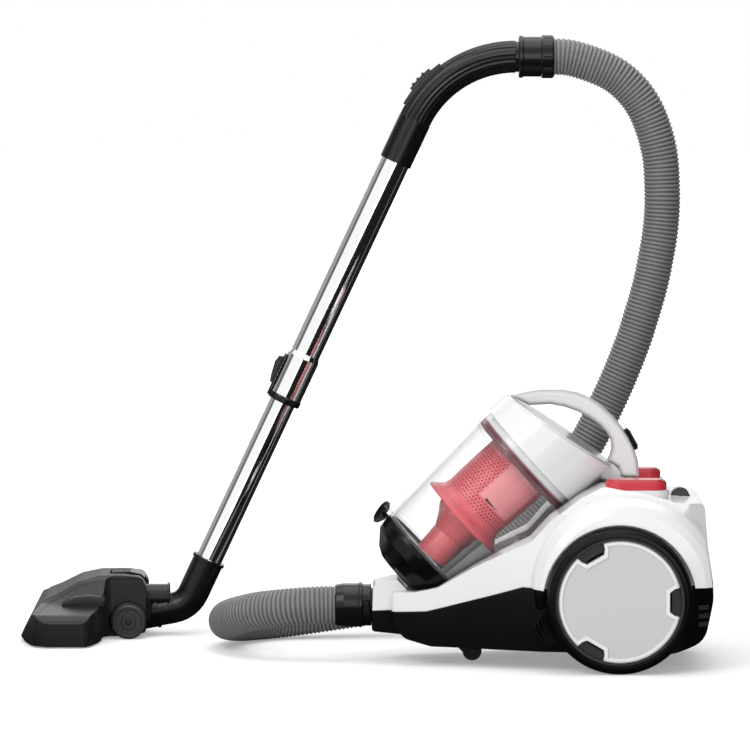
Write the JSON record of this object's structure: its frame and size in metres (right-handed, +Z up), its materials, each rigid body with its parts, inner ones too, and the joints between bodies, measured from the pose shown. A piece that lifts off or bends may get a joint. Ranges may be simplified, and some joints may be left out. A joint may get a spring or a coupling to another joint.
{
  "type": "canister vacuum cleaner",
  "caption": "Canister vacuum cleaner with a tilted clear dust cup, ribbed hose, telescopic wand and swivelling floor head, for cleaning floors.",
  "frame": {"origin": "bottom centre of the bounding box of everything but the hose, on the floor", "axes": "+X from the floor head to the canister's tail, +Y from the canister's side to the wand's side, +Z up"},
  "size_m": [0.8069, 0.484, 0.7157],
  "materials": {
    "white_plastic": "gloss",
    "black_plastic": "gloss",
    "satin_black": "satin",
    "duct_plastic": "satin",
    "rubber": "matte",
    "tyre": "matte",
    "cap_grey": "satin",
    "steel": "satin",
    "chrome": "polished",
    "clear_plastic": "clear",
    "red_clear": "clear",
    "red_plastic": "gloss",
    "filter_paper": "matte",
    "foam": "matte",
    "board": "matte",
    "hose_plastic": "satin",
    "bristle": "matte",
    "rubber_red": "satin"
  },
  "bodies": {
    "canister": {"lower_housing": "black_plastic", "upper_housing": "white_plastic", "inlet_duct": "duct_plastic", "duct_seal": "rubber", "exhaust_grille": "satin_black", "exhaust_filter": "filter_paper", "motor_case": "duct_plastic", "reel_axle": "steel", "cord_outlet": "rubber", "pre_motor_filter": "foam", "control_board": "board", "housing_screws": "steel", "axle_left": "steel", "axle_right": "steel", "hose_collar": "satin_black", "hose": "hose_plastic", "hose_cuff": "satin_black"},
    "impeller": {"impeller": "duct_plastic"},
    "reel": {"cord_reel": "duct_plastic"},
    "wheel_left": {"tyre_left": "tyre", "rim_left": "satin_black", "cap_left": "cap_grey"},
    "wheel_right": {"tyre_right": "tyre", "rim_right": "satin_black", "cap_right": "cap_grey"},
    "caster_swivel": {"caster_fork": "satin_black", "caster_pin": "steel"},
    "caster_roll": {"caster_wheel": "satin_black"},
    "power_key": {"power_button": "red_plastic"},
    "rewind_key": {"rewind_button": "red_plastic"},
    "dial": {"power_dial": "black_plastic"},
    "clip_left": {"clip_left": "satin_black"},
    "clip_right": {"clip_right": "satin_black"},
    "cup": {"cup_wall": "clear_plastic", "cup_lid": "white_plastic", "cup_handle": "white_plastic", "seal_ring": "rubber_red", "filter_shroud": "red_clear", "cyclone_cone": "red_clear", "door_pin": "steel"},
    "cup_release": {"release_button": "black_plastic"},
    "door": {"cup_door": "black_plastic", "door_seal": "rubber"},
    "latch": {"door_latch": "black_plastic"},
    "wand": {"handle_grip": "satin_black", "upper_tube": "chrome", "lock_ring": "satin_black"},
    "vent": {"vent_slider": "black_plastic"},
    "lock": {"lock_button": "black_plastic"},
    "wand_lower": {"lower_tube": "chrome", "elbow": "satin_black"},
    "neck": {"neck": "satin_black"},
    "head": {"head_cover": "satin_black", "head_sole": "satin_black", "head_bumper": "rubber"},
    "pedal": {"pedal": "black_plastic"},
    "brushes": {"brush_frame": "bristle"},
    "head_wheel_left": {"head_wheel_left": "satin_black"},
    "head_wheel_right": {"head_wheel_right": "satin_black"}
  },
  "joints": [
    {"name": "wheel_left_roll", "type": "hinge", "parent": "canister", "child": "wheel_left", "pos_m": [0.293, -0.227, 0.083], "axis": [0, 1, 0], "continuous": true},
    {"name": "wheel_right_roll", "type": "hinge", "parent": "canister", "child": "wheel_right", "pos_m": [0.293, 0.003, 0.083], "axis": [0, 1, 0], "continuous": true},
    {"name": "caster_swivel", "type": "hinge", "parent": "canister", "child": "caster_swivel", "pos_m": [0.122, -0.112, 0.024], "axis": [0, 0, 1], "continuous": true},
    {"name": "caster_roll", "type": "hinge", "parent": "caster_swivel", "child": "caster_roll", "pos_m": [0.128, -0.112, 0.011], "axis": [0, 1, 0], "continuous": true},
    {"name": "impeller_spin", "type": "hinge", "parent": "canister", "child": "impeller", "pos_m": [0.335, -0.112, 0.094], "axis": [0, 1, 0], "continuous": true},
    {"name": "reel_spin", "type": "hinge", "parent": "canister", "child": "reel", "pos_m": [0.33, -0.052, 0.086], "axis": [0, 1, 0], "continuous": true},
    {"name": "power_key_press", "type": "slide", "parent": "canister", "child": "power_key", "axis": [0, 0, -1], "range_m": [0, 0.004], "stiffness_N_per_m": 600},
    {"name": "rewind_key_press", "type": "slide", "parent": "canister", "child": "rewind_key", "axis": [0, 0, -1], "range_m": [0, 0.004], "stiffness_N_per_m": 600},
    {"name": "dial_turn", "type": "hinge", "parent": "canister", "child": "dial", "pos_m": [0.367, -0.112, 0.19], "axis": [0, 1, 0], "range_deg": [-120, 120]},
    {"name": "clip_left_press", "type": "slide", "parent": "canister", "child": "clip_left", "axis": [0, 1, 0], "range_m": [0, 0.0015], "stiffness_N_per_m": 800},
    {"name": "clip_right_press", "type": "slide", "parent": "canister", "child": "clip_right", "axis": [0, -1, 0], "range_m": [0, 0.0015], "stiffness_N_per_m": 800},
    {"name": "cup_lift", "type": "slide", "parent": "canister", "child": "cup", "axis": [-0.6691, 0, 0.7431], "range_m": [0, 0.4]},
    {"name": "cup_release_press", "type": "slide", "parent": "cup", "child": "cup_release", "axis": [-0.8746, 0, -0.4848], "range_m": [0, 0.003], "stiffness_N_per_m": 800},
    {"name": "cup_door_swing", "type": "hinge", "parent": "cup", "child": "door", "pos_m": [0.11204, -0.112, 0.07879], "axis": [0, -1, 0], "range_deg": [0, 80]},
    {"name": "door_latch_press", "type": "hinge", "parent": "cup", "child": "latch", "pos_m": [0.03263, -0.112, 0.17819], "axis": [0, 1, 0], "range_deg": [0, 12], "stiffness_Nm_per_rad": 0.4},
    {"name": "handle_swivel", "type": "hinge", "parent": "canister", "child": "wand", "pos_m": [0.205, 0.112, 0.69017], "axis": [1, 0, 0], "range_deg": [-40, 40]},
    {"name": "vent_slide", "type": "hinge", "parent": "wand", "child": "vent", "pos_m": [0.18252, 0.112, 0.55817], "axis": [0, -1, 0], "range_deg": [0, 6]},
    {"name": "wand_lock_press", "type": "slide", "parent": "wand", "child": "lock", "axis": [-0.4242, 0, -0.9056], "range_m": [0, 0.004], "stiffness_N_per_m": 600},
    {"name": "wand_telescope", "type": "slide", "parent": "wand", "child": "wand_lower", "axis": [-0.4242, 0, -0.9056], "range_m": [-0.18, 0.05]},
    {"name": "neck_swivel", "type": "hinge", "parent": "wand_lower", "child": "neck", "pos_m": [-0.24789, 0.112, 0.02765], "axis": [-0.9848, 0, -0.1736], "range_deg": [-80, 80]},
    {"name": "head_tilt", "type": "hinge", "parent": "neck", "child": "head", "pos_m": [-0.272, 0.112, 0.033], "axis": [0, 1, 0], "range_deg": [-18, 12]},
    {"name": "head_wheel_left_roll", "type": "hinge", "parent": "head", "child": "head_wheel_left", "pos_m": [-0.277, 0.068, 0.0205], "axis": [0, 1, 0], "continuous": true},
    {"name": "head_wheel_right_roll", "type": "hinge", "parent": "head", "child": "head_wheel_right", "pos_m": [-0.277, 0.156, 0.0205], "axis": [0, 1, 0], "continuous": true},
    {"name": "pedal_rock", "type": "hinge", "parent": "head", "child": "pedal", "pos_m": [-0.286, 0.112, 0.0655], "axis": [0, 1, 0], "range_deg": [0, 6]},
    {"name": "brush_drop", "type": "slide", "parent": "head", "child": "brushes", "axis": [0, 0, -1], "range_m": [0, 0.004]}
  ],
  "couplings": [
    {"joint": "cup_door_swing", "follows": "cup_lift", "rad_per_m": 3.49},
    {"joint": "brush_drop", "follows": "pedal_rock", "m_per_rad": 0.036287}
  ]
}
